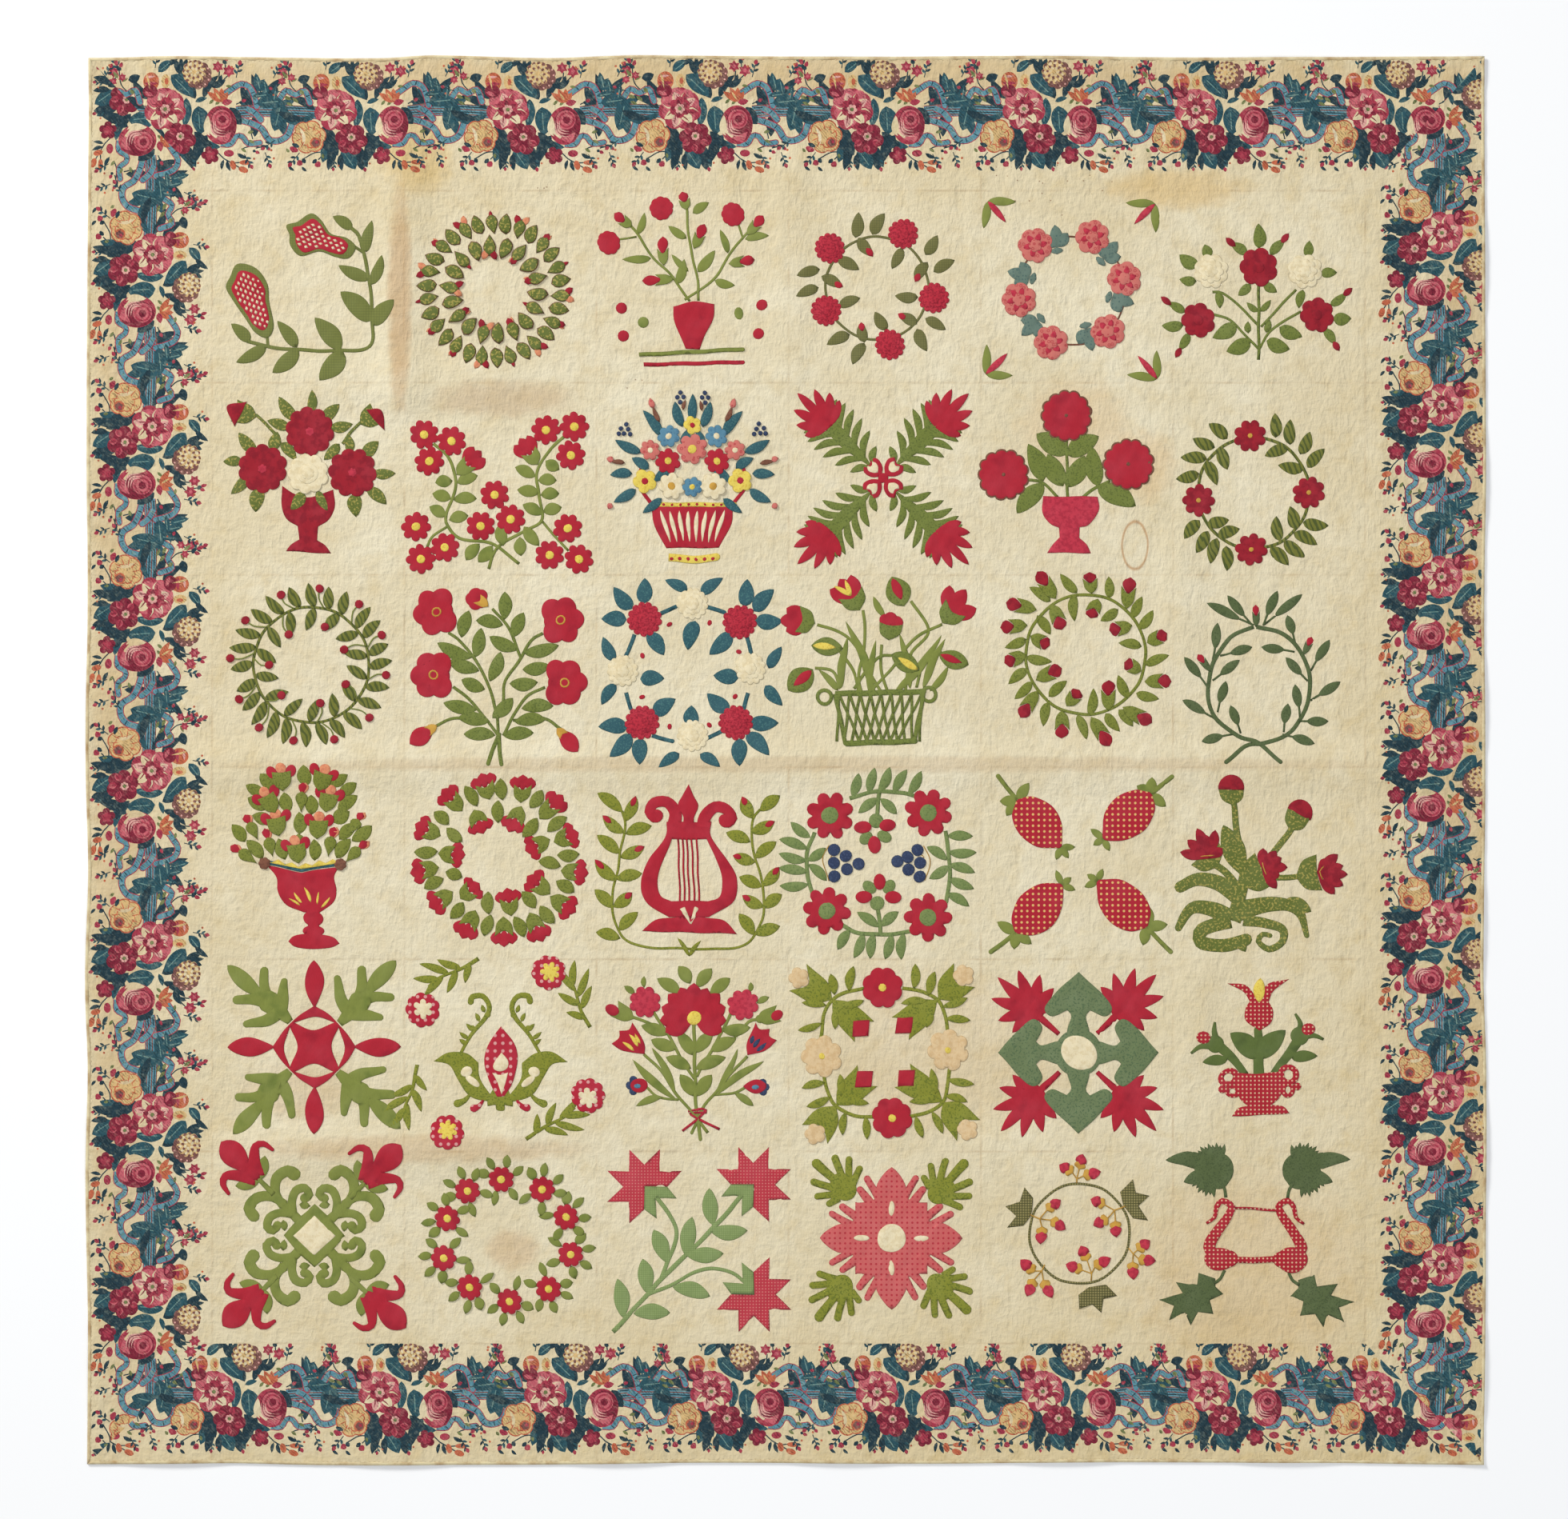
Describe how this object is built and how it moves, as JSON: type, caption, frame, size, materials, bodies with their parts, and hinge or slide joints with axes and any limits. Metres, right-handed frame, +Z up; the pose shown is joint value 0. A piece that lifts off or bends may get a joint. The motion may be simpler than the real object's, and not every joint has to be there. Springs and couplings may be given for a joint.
{
  "type": "album quilt",
  "caption": "Square album quilt laid flat: quilted muslin field of applique flower, wreath and basket blocks inside a mitred chintz floral border with a narrow binding.",
  "frame": {"origin": "under the middle of the quilt, on the surface it lies on", "axes": "+Z up through the quilt's face, +Y towards the quilt's top edge, +X towards its right edge seen from above"},
  "size_m": [2.7128, 2.73, 0.0137],
  "materials": {
    "muslin": "aged cream cotton muslin, hand quilted",
    "chintz": "printed cotton, roses, teal leaves and blue ribbon on aged cream",
    "binding_cotton": "plain cream cotton, worn"
  },
  "bodies": {
    "root": {"album_field": "muslin", "border_top": "chintz", "border_right": "chintz", "border_bottom": "chintz", "border_left": "chintz", "binding_top": "binding_cotton", "binding_right": "binding_cotton", "binding_bottom": "binding_cotton", "binding_left": "binding_cotton"}
  },
  "joints": []
}
